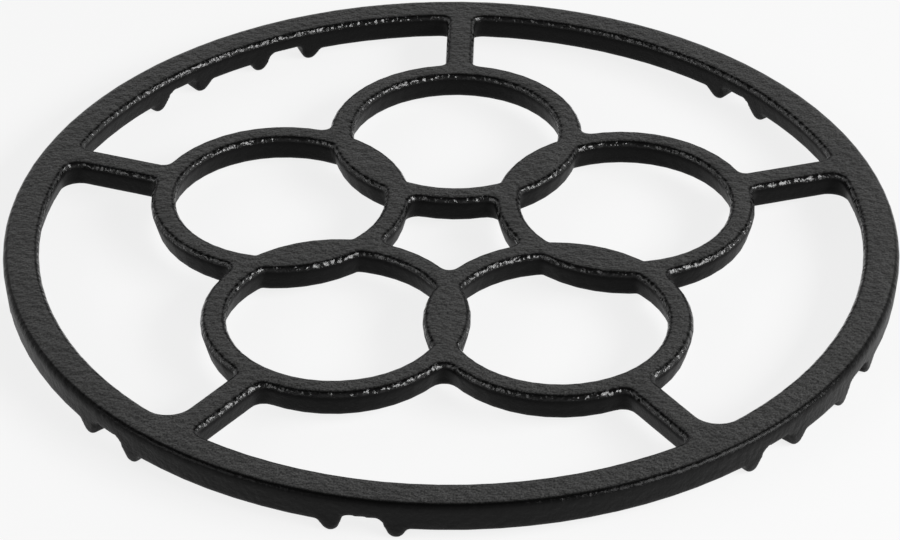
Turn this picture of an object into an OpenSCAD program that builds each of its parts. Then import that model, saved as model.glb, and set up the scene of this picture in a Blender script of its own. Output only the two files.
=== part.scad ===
// Cast iron wok ring: a round rim, five rings that cross each other, and five spokes,
// poured in one piece. Notches under the rim sit over the fingers of a hob's pan support.
// Millimetres, +Z up. The origin is the middle of the circle on which the lug tips stand.

/* [Rim] */
// Outer diameter, across the widest part of the rim
rim_d = 230; // [200:1:260]
// Width of the rim's top face, with its rounded edges
rim_w = 9.4; // [8:0.1:12]
// Taper of the rim's outside, in degrees
rim_draft = 5; // [2:0.5:7]

/* [Bars] */
// Height of every bar, from its top face to its underside
bar_h = 8.1; // [6.5:0.1:10]
// Radius of the rounded top edges
edge_r = 1.6; // [0.8:0.1:2]
// Radius of the rounded bottom edges
foot_r = 1.2; // [0.8:0.1:1.4]
// Taper of the bars' sides, in degrees
bar_draft = 15; // [4:0.5:16]

/* [Rings] */
// How many rings cross each other round the middle
ring_count = 5; // [5:1:6]
// Radius of the circle on which the rings' centres lie
ring_pitch_r = 47.2; // [44:0.1:48]
// Radius of each ring, at the middle of its bar
ring_r = 30.55; // [29:0.05:33]
// Width of the rings' bar
ring_w = 6.7; // [6:0.1:8]

/* [Spokes] */
// Width of the spokes
spoke_w = 7.8; // [6.5:0.1:10]

/* [Corners] */
// Radius of the small fillets between rings, spokes and rim
corner_r = 2; // [1:0.1:2.4]
// Radius of the wide fillets at the rim, on the outward side of the two front spokes
front_fillet_r = 6.4; // [3:0.1:8]
// Radius of the wide fillets at the rim, on the front side of the two side spokes
side_fillet_r = 3.7; // [3:0.1:8]

/* [Notches] */
// Fingers on the first kind of pan support that the ring fits
fingers_a = 5; // [3:1:6]
// Fingers on the second kind of pan support that the ring fits
fingers_b = 4; // [3:1:6]
// Angle of the notch that both kinds share, in degrees from +X
notch_start = 45; // [40:1:50]
// Width of a notch at its roof
notch_w = 9.2; // [5:0.1:11]
// Depth of a notch above the rim's underside
notch_depth = 2.9; // [1.5:0.1:3.5]
// Lean of the notch's walls, in degrees
notch_lean = 12; // [5:1:20]
// Radius of the fillets beside a notch's roof
notch_fillet_r = 1.2; // [0.4:0.1:1.5]

/* [Lugs] */
// Height of the lugs below the rim's underside
lug_h = 2.9; // [1.5:0.1:4]
// Radius of the lugs' tips, seen from the side
lug_r = 2.3; // [1.5:0.1:2.5]
// How far a lug's outer foot lies from the middle of its tip, along the rim
lug_reach = 2.8; // [2.4:0.1:4]

/* [Hidden] */
// Facets of a full circle: rings, rim, wide fillets, small fillets and lug tips. The fillets'
// numbers aren't multiples of 4, so that no corner of theirs lies on the edge of a web.
$fn = 44;
rim_fn = 100;
fillet_fn = 22;
corner_fn = 14;
lug_fn = 16;
pitch = 360 / ring_count;
first_spoke = 90;
// Height of the bars to the nearest 64th, so that all their undersides lie in exactly one plane
bar_z = round(bar_h * 64) / 64;
top_z = lug_h + bar_z;
roof_z = lug_h + notch_depth;
ring_out_r = ring_r + ring_w / 2;
// Half the distance between the centres of two neighbouring rings
half_gap = ring_pitch_r * sin(pitch / 2);
rim_r = rim_d / 2;
rim_in_r = rim_r - rim_w;
rim_mid_r = rim_r - rim_w / 2;
// Radius of the rim's outer bottom edge, and of the edges round the lugs' tips
rim_foot_r = 0.6;
tip_edge_r = 0.6;
// Straight pieces in each rounded top edge and in each rounded bottom edge
top_steps = 3;
low_steps = 1;
// How far a block of air runs past what it cuts, and how far a fillet runs into what it joins
cut = 1;
merge = 0.05;
iron_colour = [0.16, 0.16, 0.16];

// Radii of the fillets at the rim end of each spoke, on its anticlockwise and clockwise sides
fillets_left = [corner_r, side_fillet_r, corner_r, front_fillet_r, corner_r, corner_r];
fillets_right = [corner_r, corner_r, front_fillet_r, corner_r, side_fillet_r, corner_r];

// Angles of all notches, with the shared one named once
notches_a = [for (i = [0 : fingers_a - 1]) notch_start + i * 360 / fingers_a];
notches_b = [for (i = [1 : fingers_b - 1]) notch_start + i * 360 / fingers_b];
notches = concat(notches_a, notches_b);

// Points along an arc whose centre is at x, and which touches the height y at the angle level
function arc(x, y, r, from, to, steps, level) = [
    for (i = [0 : steps])
        let (t = from + (to - from) * i / steps) [x + r * cos(t), y + r * (sin(t) - sin(level))]
];

// How far a bar's side has leaned in from its widest place, at a depth below the top face
function lean_in(depth, draft) = depth * tan(draft) - edge_r * (tan(45 + draft / 2) - 1);

// One side of an upright bar section, from its flat top to its flat underside: a rounded top
// edge, a side that leans in by the angle draft as it goes down, and a rounded bottom edge
function bar_side(half_w, h, draft, low_r) = concat(
    arc(half_w - edge_r, 0, edge_r, 90, -draft, top_steps, 90),
    arc(half_w - lean_in(h, draft) - low_r * tan(45 - draft / 2), -h, low_r, -draft, -90,
        low_steps, -90)
);

// Upright section of a bar, hung below y = 0. Each side has its own taper and bottom radius.
module section(w, h, draft_l, draft_r, low_l, low_r) {
    left = bar_side(w / 2, h, draft_l, low_l);
    right = bar_side(w / 2, h, draft_r, low_r);
    last = len(left) - 1;
    polygon(concat(right, [for (i = [0 : last]) [-left[last - i][0], left[last - i][1]]]));
}

module bar_section(w) {
    section(w, bar_z, bar_draft, bar_draft, foot_r, foot_r);
}

module rim() {
    translate([0, 0, top_z]) rotate_extrude($fn = rim_fn)
        translate([rim_mid_r, 0]) section(rim_w, bar_z, bar_draft, rim_draft, foot_r, rim_foot_r);
}

// Moves its children to the centre of ring number i
module at_ring(i) {
    rotate(first_spoke + i * pitch) translate([ring_pitch_r, 0]) children();
}

module one_ring() {
    translate([0, 0, top_z]) rotate_extrude() translate([ring_r, 0]) bar_section(ring_w);
}

// Turns its children over, so that they hang from the level of the top face
module from_top() {
    translate([0, 0, top_z]) mirror([0, 0, 1]) children();
}

// Solid pointed oval between two neighbouring rings, out to the middle of both bars
module lens(i) {
    intersection() {
        at_ring(i) from_top() cylinder(h = bar_z, r = ring_r);
        at_ring(i + 1) from_top() cylinder(h = bar_z, r = ring_r);
    }
}

// Straight bar along +X from the middle of a ring's bar to the middle of the rim
module spoke() {
    from = ring_pitch_r + ring_r;
    translate([from, 0, top_z]) rotate([90, 0, 90])
        linear_extrude(rim_mid_r - from) bar_section(spoke_w);
}

// Air beside a rounded corner: the room that a bar's side leaves free round a centre
module corner_air(r) {
    translate([0, 0, top_z]) rotate_extrude() difference() {
        translate([0, -bar_z - cut]) square([r + ring_w / 2, bar_z + 2 * cut]);
        translate([r + ring_w / 2, 0]) bar_section(ring_w);
    }
}

// Point at the distance d from p, on the way to q
function toward(p, q, d) = p + (q - p) * d / norm(q - p);

// Web that fills the corner between two bars, from the fillet's centre c to the points inside
module corner_web(c, r, inside) {
    difference() {
        from_top() linear_extrude(bar_z) polygon(concat([c], inside));
        translate(c) corner_air(r);
    }
}

// Fillets in the two outer corners where ring number i crosses the next one
module crossing_corners(i) {
    far = ring_out_r + corner_r - merge;
    this_ring = [-half_gap, 0];
    next_ring = [half_gap, 0];
    middle = [0, sqrt(ring_r * ring_r - half_gap * half_gap)];
    c = [0, sqrt(far * far - half_gap * half_gap)];
    rotate(first_spoke + (i + 1 / 2) * pitch)
        translate([ring_pitch_r * cos(pitch / 2), 0]) rotate(90)
            for (side = [0, 1]) mirror([0, side])
                corner_web(c, corner_r, [
                    toward(c, this_ring, corner_r + ring_w / 2),
                    middle,
                    toward(c, next_ring, corner_r + ring_w / 2)
                ], $fn = corner_fn);
}

// Fillets on both sides of the spoke along +X, where it leaves its ring
module spoke_corners() {
    far = ring_out_r + corner_r - merge;
    side = spoke_w / 2 + corner_r - merge;
    ring = [ring_pitch_r, 0];
    c = ring + [sqrt(far * far - side * side), side];
    for (turn = [0, 1]) mirror([0, turn])
        corner_web(c, corner_r, [
            toward(c, ring, corner_r + ring_w / 2),
            ring + [ring_r, 0],
            [c[0], 0]
        ], $fn = corner_fn);
}

// Fillet of radius r on the +Y side of the spoke along +X, where it runs into the rim
module rim_corner(r) {
    far = rim_in_r - r + merge;
    side = spoke_w / 2 + r - merge;
    c = [sqrt(far * far - side * side), side];
    corner_web(c, r, [[c[0], 0], [rim_mid_r, 0], toward(c, [0, 0], far - rim_mid_r)],
        $fn = r > corner_r ? fillet_fn : corner_fn);
}

// Half the width of a notch at the height z above the lug tips
function notch_half(z) = notch_w / 2 + (roof_z - z) * tan(notch_lean);

// Radii of the rim's inner and outer sides at the height z, carried on below its underside
function side_in(z) = rim_in_r + lean_in(top_z - z, bar_draft);
function side_out(z) = rim_r - lean_in(top_z - z, rim_draft);

// Block of air for one notch, across the rim along +X, with fillets beside its roof
module notch() {
    lean = 90 - notch_lean;
    reach = notch_fillet_r * tan(lean / 2);
    roof = arc(notch_w / 2 - reach, roof_z, notch_fillet_r, 90, notch_lean, low_steps, 90);
    translate([rim_in_r - cut, 0, 0]) rotate([90, 0, 90]) linear_extrude(rim_w + 2 * cut)
        polygon(concat(
            [[-notch_half(-cut), -cut], [notch_half(-cut), -cut]],
            [for (i = [low_steps : -1 : 0]) roof[i]],
            [for (i = [0 : low_steps]) [-roof[i][0], roof[i][1]]]
        ));
}

// Disc on edge that rounds a lug's tip, across the rim between two distances from its middle
module tip_disc(r, from, to) {
    translate([from, 0, lug_r]) rotate([0, 90, 0]) cylinder(h = to - from, r = r, $fn = lug_fn);
}

// One lug under the rim at +X, with its outer foot towards +Y. Its roots start a little above the
// rim's underside, so that none of its faces lies in that plane.
module lug() {
    root_z = lug_h + foot_r;
    foot_z = lug_h + foot_r / 4;
    hull() {
        tip_disc(lug_r, side_in(0) + tip_edge_r, side_out(0) - tip_edge_r);
        tip_disc(lug_r - tip_edge_r, side_in(tip_edge_r), side_out(tip_edge_r));
        translate([side_in(root_z), -lug_r, root_z])
            cube([side_out(root_z) - side_in(root_z), lug_r + lug_reach, foot_r]);
        translate([side_in(foot_z), -lug_r, foot_z])
            cube([side_out(foot_z) - side_in(foot_z), lug_r + lug_reach, foot_r]);
    }
}

// The two lugs beside the notch at +X
module lug_pair() {
    middle = notch_half(lug_r) + lug_r / cos(notch_lean);
    turn = asin(middle / rim_mid_r);
    rotate(turn) lug();
    mirror([0, 1]) rotate(turn) lug();
}

module grid() {
    for (i = [0 : ring_count - 1]) {
        at_ring(i) one_ring();
        lens(i);
        crossing_corners(i);
        rotate(first_spoke + i * pitch) {
            spoke();
            spoke_corners();
            rim_corner(fillets_left[i]);
            mirror([0, 1]) rim_corner(fillets_right[i]);
        }
    }
}

module wok_ring() color(iron_colour) difference() {
    union() {
        rim();
        grid();
        for (a = notches) rotate(a) lug_pair();
    }
    for (a = notches) rotate(a) notch();
}

wok_ring();
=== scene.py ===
import bpy
import math
from mathutils import Matrix, Vector


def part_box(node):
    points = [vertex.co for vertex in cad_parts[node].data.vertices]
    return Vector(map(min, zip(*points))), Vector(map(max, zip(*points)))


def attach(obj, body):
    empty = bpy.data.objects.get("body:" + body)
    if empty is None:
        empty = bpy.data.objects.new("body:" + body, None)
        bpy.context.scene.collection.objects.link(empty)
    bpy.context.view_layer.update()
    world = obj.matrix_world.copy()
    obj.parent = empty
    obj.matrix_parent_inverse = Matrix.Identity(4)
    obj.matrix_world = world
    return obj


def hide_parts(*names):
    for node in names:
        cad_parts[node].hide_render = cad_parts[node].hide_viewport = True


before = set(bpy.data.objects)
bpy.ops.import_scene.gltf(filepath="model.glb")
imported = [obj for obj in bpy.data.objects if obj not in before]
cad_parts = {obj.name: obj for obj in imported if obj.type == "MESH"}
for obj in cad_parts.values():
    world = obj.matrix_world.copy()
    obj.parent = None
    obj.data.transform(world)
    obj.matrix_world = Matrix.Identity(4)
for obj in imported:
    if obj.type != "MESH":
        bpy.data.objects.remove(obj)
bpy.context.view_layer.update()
print("frame loaded")

mm = 0.001
ringNode = "wok_ring"
lowCorner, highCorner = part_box(ringNode)
topZ = highCorner.z
rimRadius = highCorner.x


# Turns an sRGB hex colour into the linear values that the sockets take
def toLinear(hexColour):
    channels = [int(hexColour[i:i + 2], 16) / 255 for i in (1, 3, 5)]
    linear = [c / 12.92 if c <= 0.04045 else ((c + 0.055) / 1.055) ** 2.4 for c in channels]
    return (*linear, 1.0)


# Adds one node, sets its properties and its inputs, and links what comes as a socket. An input is
# named with _ for a space, or by its number, such as i0, where names repeat
def addNode(tree, kind, settings=None, **inputs):
    node = tree.nodes.new(kind)
    for name, value in (settings or {}).items():
        setattr(node, name, value)
    for name, value in inputs.items():
        key = int(name[1:]) if name[0] == "i" and name[1:].isdigit() else name.replace("_", " ")
        socket = node.inputs[key]
        if isinstance(value, bpy.types.NodeSocket):
            tree.links.new(value, socket)
        else:
            socket.default_value = value
    return node


def newMaterial(name):
    material = bpy.data.materials.new(name)
    material.use_nodes = True
    material.node_tree.nodes.clear()
    return material, material.node_tree


# A new stop starts in the middle of the ramp and is then moved to its own place
def setStops(ramp, stops):
    middle = 0.5
    while len(ramp.elements) < len(stops):
        ramp.elements.new(middle)
    for element, (place, shade) in zip(ramp.elements, stops):
        element.position = place
        element.color = toLinear(shade)


# Noise runs in object space, in metres, so a feature of so many mm needs this scale
def scaleFor(sizeMm):
    return 1 / (sizeMm * mm)


# Sand-cast grey iron under a thin black stoving finish: the mould's sand leaves a matt pebble
# grain on the flat top, the finish pools dark and glossy on the rounded edges, which glint in
# broken beads, and the drafted walls stay dark and dull. The near-black line where an edge meets
# the flat top is painted shade. Each range "...From" runs over the share of the normal that points
# up, which is 0 on a wall and 1 on the flat top
ironFinish = {
    # the wall, the rounded edge, a line of painted shade beside the flat top, and the flat top
    "tonesAndLineShade": [(0.15, "#101010"), (0.50, "#0f0f0f"), (0.88, "#050505"), (0.985, "#101010")],
    "edgeFrom": (0.15, 0.50),
    "lineFrom": (0.74, 0.86),
    "topFrom": (0.93, 0.99),
    "dust": "#454544",      # grey of the dusty grains on the flat top
    "dustGrain": (0.40, 0.62),      # where the grain's noise goes from finish to dust
    "dustCloud": (0.3, 0.7),        # range of the cloud's noise, and the dust's share at its ends
    "dustShare": (0.5, 0.8),
    "ior": 1.5,
    "metallic": 0.0,        # the finish covers the iron, so no bare metal shows
    "specularWall": 0.04,
    "specularEdge": 0.60,
    "specularTop": 0.40,
    "specularOutside": 0.09,        # the rim's outer face, duller than the edges inside it
    "dullLine": 0.12,       # share of the edge's gloss left on the painted shade line beside the flat top
    "roughWall": 0.42,
    "roughEdge": 0.16,
    "roughTop": 0.52,
    # depths inside the rim's radius at which the outer face's finish starts, and at which it is full
    "outsideDepth": (2.0 * mm, 1.0 * mm),
    "softEdge": 1.8 * mm,   # reach of the pooled finish on each side of an edge
    "softEdgeRays": 8,
    # each noise by size in mm, detail and roughness: real grit is about 0.25 mm and is drawn
    # coarser, so that it shows; a bead counts with its gap, so its glint is about half as wide;
    # and the cloud is a slow change of tone over the casting
    "grain": (0.42, 2.0, 0.55),
    "bead": (1.7, 1.0, 0.5),
    "cloud": (12, 3.0, 0.5),
    "grainDepth": 0.07 * mm,
    "beadDepth": 0.85 * mm,
    "beadsWall": 0.12,      # shares of the beads' depth left on the walls and on the outer face
    "beadsOutside": 0.25,
}


def sandCastIron(s):
    material, tree = newMaterial("sandCastIronStoved")
    place = addNode(tree, "ShaderNodeTexCoord").outputs["Object"]
    normal = addNode(tree, "ShaderNodeBevel", {"samples": s["softEdgeRays"]},
                     Radius=s["softEdge"]).outputs["Normal"]
    up = addNode(tree, "ShaderNodeSeparateXYZ", Vector=normal).outputs["Z"]
    smooth = {"interpolation_type": "SMOOTHSTEP"}
    flatTop = addNode(tree, "ShaderNodeMapRange", smooth, Value=up,
                      From_Min=s["topFrom"][0], From_Max=s["topFrom"][1]).outputs["Result"]
    rounded = addNode(tree, "ShaderNodeMapRange", smooth, Value=up,
                      From_Min=s["edgeFrom"][0], From_Max=s["edgeFrom"][1]).outputs["Result"]
    noises = []
    for sizeMm, detail, roughness in (s["grain"], s["bead"], s["cloud"]):
        noise = addNode(tree, "ShaderNodeTexNoise", Vector=place, Scale=scaleFor(sizeMm),
                        Detail=detail, Roughness=roughness)
        noises.append(noise.outputs["Fac"])
    grain, bead, cloud = noises

    # colour: the tones by slope, with painted shade on the line beside the flat top, and dust on the
    # grains of the flat top
    ramp = addNode(tree, "ShaderNodeValToRGB", Fac=up)
    setStops(ramp.color_ramp, s["tonesAndLineShade"])
    patch = addNode(tree, "ShaderNodeMapRange", Value=cloud,
                    From_Min=s["dustCloud"][0], From_Max=s["dustCloud"][1],
                    To_Min=s["dustShare"][0], To_Max=s["dustShare"][1]).outputs["Result"]
    speck = addNode(tree, "ShaderNodeMapRange", smooth, Value=grain,
                    From_Min=s["dustGrain"][0], From_Max=s["dustGrain"][1]).outputs["Result"]
    dusty = addNode(tree, "ShaderNodeMath", {"operation": "MULTIPLY"}, i0=patch, i1=speck)
    dustyTop = addNode(tree, "ShaderNodeMath", {"operation": "MULTIPLY"},
                       i0=dusty.outputs[0], i1=flatTop)
    colour = addNode(tree, "ShaderNodeMix", {"data_type": "RGBA"}, i0=dustyTop.outputs[0],
                     i6=ramp.outputs["Color"], i7=toLinear(s["dust"])).outputs[2]

    # roughness: wall, edge, flat top
    roughSide = addNode(tree, "ShaderNodeMapRange", Value=rounded, To_Min=s["roughWall"],
                        To_Max=s["roughEdge"]).outputs["Result"]
    rough = addNode(tree, "ShaderNodeMix", {"data_type": "FLOAT"}, i0=flatTop, i2=roughSide,
                    i3=s["roughTop"]).outputs[0]

    # gloss: the same, with a dull line beside the flat top and a dull outer face
    glossSide = addNode(tree, "ShaderNodeMapRange", Value=rounded, To_Min=s["specularWall"],
                        To_Max=s["specularEdge"]).outputs["Result"]
    glossLine = addNode(tree, "ShaderNodeMapRange", smooth, Value=up,
                        From_Min=s["lineFrom"][0], From_Max=s["lineFrom"][1],
                        To_Min=1.0, To_Max=s["dullLine"]).outputs["Result"]
    glossInside = addNode(tree, "ShaderNodeMath", {"operation": "MULTIPLY"}, i0=glossSide,
                          i1=glossLine).outputs[0]
    # the distance from the casting's axis tells the rim's outer face
    flatPlace = addNode(tree, "ShaderNodeVectorMath", {"operation": "MULTIPLY"}, i0=place,
                        i1=(1, 1, 0)).outputs["Vector"]
    radius = addNode(tree, "ShaderNodeVectorMath", {"operation": "LENGTH"},
                     i0=flatPlace).outputs["Value"]
    outside = addNode(tree, "ShaderNodeMapRange", smooth, Value=radius,
                      From_Min=rimRadius - s["outsideDepth"][0],
                      From_Max=rimRadius - s["outsideDepth"][1]).outputs["Result"]
    glossEdge = addNode(tree, "ShaderNodeMix", {"data_type": "FLOAT"}, i0=outside,
                        i2=glossInside, i3=s["specularOutside"]).outputs[0]
    specular = addNode(tree, "ShaderNodeMix", {"data_type": "FLOAT"}, i0=flatTop, i2=glossEdge,
                       i3=s["specularTop"]).outputs[0]

    # relief: beads under the grain
    beadsInside = addNode(tree, "ShaderNodeMapRange", Value=rounded, To_Min=s["beadsWall"],
                          To_Max=1.0).outputs["Result"]
    beads = addNode(tree, "ShaderNodeMix", {"data_type": "FLOAT"}, i0=outside, i2=beadsInside,
                    i3=s["beadsOutside"]).outputs[0]
    bumpBead = addNode(tree, "ShaderNodeBump", Height=bead, Strength=beads,
                       Distance=s["beadDepth"], Normal=normal)
    bumpGrain = addNode(tree, "ShaderNodeBump", Height=grain, Strength=1.0,
                        Distance=s["grainDepth"], Normal=bumpBead.outputs["Normal"])
    shader = addNode(tree, "ShaderNodeBsdfPrincipled", Base_Color=colour, Roughness=rough,
                     Specular_IOR_Level=specular, Normal=bumpGrain.outputs["Normal"])
    shader.inputs["IOR"].default_value = s["ior"]
    shader.inputs["Metallic"].default_value = s["metallic"]
    addNode(tree, "ShaderNodeOutputMaterial", Surface=shader.outputs["BSDF"])
    return material


# The casting as it leaves the mould: the solid's faces are remeshed fine, its corners are
# rounded as sand rounds them, and its faces ripple slightly inward
castingSkin = {
    "voxel": 0.45 * mm,
    "smoothShare": 0.5,     # of the way to its neighbours' middle that a point moves in one turn
    "smoothTurns": 3,
    "rippleMm": 9,
    "rippleDepth": 0.08 * mm,
    "rippleZero": 1.0,      # tone of the ripple that stays in place, and darker ones go inward
    "keep": 0.33,           # share of the fine faces left, most of them on the curves
}


def makeCasting(s):
    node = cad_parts[ringNode]
    piece = bpy.data.objects.new("casting", node.data.copy())
    bpy.context.scene.collection.objects.link(piece)
    remesh = piece.modifiers.new("fineFaces", "REMESH")
    remesh.mode = "VOXEL"
    remesh.voxel_size = s["voxel"]
    remesh.use_smooth_shade = True
    soften = piece.modifiers.new("roundedCorners", "SMOOTH")
    soften.factor = s["smoothShare"]
    soften.iterations = s["smoothTurns"]
    texture = bpy.data.textures.new("ripple", "CLOUDS")
    texture.noise_scale = s["rippleMm"] * mm
    ripple = piece.modifiers.new("ripple", "DISPLACE")
    ripple.texture = texture
    ripple.texture_coords = "LOCAL"
    ripple.strength = s["rippleDepth"]
    ripple.mid_level = s["rippleZero"]
    fewer = piece.modifiers.new("fewerFaces", "DECIMATE")
    fewer.ratio = s["keep"]
    piece.data.materials.clear()
    piece.data.materials.append(sandCastIron(ironFinish))
    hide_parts(ringNode)
    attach(piece, "root")


makeCasting(castingSkin)
print("casting made")


# Matt painted board: pale and even, and lightened where it is seen straight or mirrored, so that
# it shows only the object's soft shadow
floorFinish = {
    "size": 6.0,            # metres
    "colour": "#dcdcdc",
    "rough": 0.9,
    "specular": 0.0,
    "lightened": 0.82,      # share of plain white mixed in
}


def makeFloor(s):
    half = s["size"] / 2
    mesh = bpy.data.meshes.new("floor")
    mesh.from_pydata([(-half, -half, 0), (half, -half, 0), (half, half, 0), (-half, half, 0)],
                     [], [(0, 1, 2, 3)])
    floor = bpy.data.objects.new("floor", mesh)
    floor.location.z = lowCorner.z
    bpy.context.scene.collection.objects.link(floor)
    material, tree = newMaterial("mattPaintedBoard")
    shader = addNode(tree, "ShaderNodeBsdfPrincipled")
    shader.inputs["Base Color"].default_value = toLinear(s["colour"])
    shader.inputs["Roughness"].default_value = s["rough"]
    shader.inputs["Specular IOR Level"].default_value = s["specular"]
    white = addNode(tree, "ShaderNodeEmission", Color=(1, 1, 1, 1), Strength=1.0)
    ray = addNode(tree, "ShaderNodeLightPath").outputs
    mirrored = addNode(tree, "ShaderNodeMath", {"operation": "MAXIMUM"},
                       i0=ray["Is Glossy Ray"], i1=ray["Is Transmission Ray"])
    seen = addNode(tree, "ShaderNodeMath", {"operation": "MAXIMUM"},
                   i0=ray["Is Camera Ray"], i1=mirrored.outputs[0])
    share = addNode(tree, "ShaderNodeMath", {"operation": "MULTIPLY"},
                    i0=seen.outputs[0], i1=s["lightened"])
    mix = addNode(tree, "ShaderNodeMixShader", Fac=share.outputs[0],
                  i1=shader.outputs["BSDF"], i2=white.outputs[0])
    addNode(tree, "ShaderNodeOutputMaterial", Surface=mix.outputs[0])
    mesh.materials.append(material)


makeFloor(floorFinish)
print("floor made")


# A soft studio: bright round the horizon, dimmer overhead and in front, with one soft lamp on
# the right and a weak one on the left, both towards the front
studio = {
    "strength": 1.0,
    # tone by the sine of the height above the horizon
    "steps": [(0.0, "#e6e6e6"), (0.58, "#e0e0e0"), (0.74, "#6a6a6a"), (1.0, "#606060")],
    "dimFront": 0.35,       # share of the strength left in front
    "frontToBack": (-0.7, 0.5),     # where along Y the strength starts and stops rising
    # places and sizes in metres, power in watts
    "lamps": {
        "right": {"at": (1.08, -0.44, 0.70), "size": (1.1, 0.42), "power": 23},
        "left": {"at": (-0.95, -0.50, 0.66), "size": (0.7, 0.40), "power": 2.5},
    },
}


def makeStudio(s):
    world = bpy.data.worlds.new("studio")
    bpy.context.scene.world = world
    world.use_nodes = True
    tree = world.node_tree
    tree.nodes.clear()
    direction = addNode(tree, "ShaderNodeTexCoord").outputs["Generated"]
    axes = addNode(tree, "ShaderNodeSeparateXYZ", Vector=direction).outputs
    ramp = addNode(tree, "ShaderNodeValToRGB", Fac=axes["Z"])
    setStops(ramp.color_ramp, s["steps"])
    strength = addNode(tree, "ShaderNodeMapRange", {"interpolation_type": "SMOOTHSTEP"},
                       Value=axes["Y"], From_Min=s["frontToBack"][0], From_Max=s["frontToBack"][1],
                       To_Min=s["strength"] * s["dimFront"], To_Max=s["strength"])
    sky = addNode(tree, "ShaderNodeBackground", Color=ramp.outputs["Color"],
                  Strength=strength.outputs["Result"])
    addNode(tree, "ShaderNodeOutputWorld", Surface=sky.outputs[0])
    for name, lamp in s["lamps"].items():
        light = bpy.data.lights.new(name, "AREA")
        light.shape = "RECTANGLE"
        light.size, light.size_y = lamp["size"]
        light.energy = lamp["power"]
        holder = bpy.data.objects.new(name, light)
        holder.location = lamp["at"]
        aim = Vector((0, 0, topZ)) - holder.location
        holder.rotation_euler = aim.to_track_quat("-Z", "Y").to_euler()
        bpy.context.scene.collection.objects.link(holder)


makeStudio(studio)
print("studio made")


# The photograph's view. The focal length and the image's width are in its pixels, the sensor is
# in mm, angles are in degrees, and the distance is from the middle of the top face, in rim radii
view = {
    "focalPixels": 3823.4,
    "imageWidth": 900,
    "sensor": 36.0,
    "distance": 8.5525,
    "elevation": 34.19,
    "azimuth": 1.634,
    "pan": -0.0166,
    "tilt": -0.624,
    "roll": -0.076,
    "reach": 20,            # metres to the far clip
}


def makeCamera(s):
    data = bpy.data.cameras.new("camera")
    data.sensor_width = s["sensor"]
    data.lens = s["focalPixels"] / s["imageWidth"] * s["sensor"]
    data.clip_end = s["reach"]
    camera = bpy.data.objects.new("camera", data)
    spin = Matrix.Rotation(math.radians(s["azimuth"]), 3, "Z")
    rise = math.radians(s["elevation"])
    ahead = spin @ Vector((0, math.cos(rise), -math.sin(rise)))
    right = spin @ Vector((1, 0, 0))
    up = right.cross(ahead)
    start = Vector((0, 0, topZ)) - ahead * s["distance"] * rimRadius
    pan, tilt, roll = (math.radians(s[name]) for name in ("pan", "tilt", "roll"))
    ahead, right = (ahead * math.cos(pan) + right * math.sin(pan),
                    right * math.cos(pan) - ahead * math.sin(pan))
    ahead, up = (ahead * math.cos(tilt) + up * math.sin(tilt),
                 up * math.cos(tilt) - ahead * math.sin(tilt))
    right, up = (right * math.cos(roll) + up * math.sin(roll),
                 up * math.cos(roll) - right * math.sin(roll))
    turn = Matrix((right, up, -ahead)).transposed().to_4x4()
    camera.matrix_world = Matrix.Translation(start) @ turn
    bpy.context.scene.collection.objects.link(camera)
    bpy.context.scene.camera = camera


makeCamera(view)
bpy.context.scene.view_settings.view_transform = "Standard"
print("camera made")
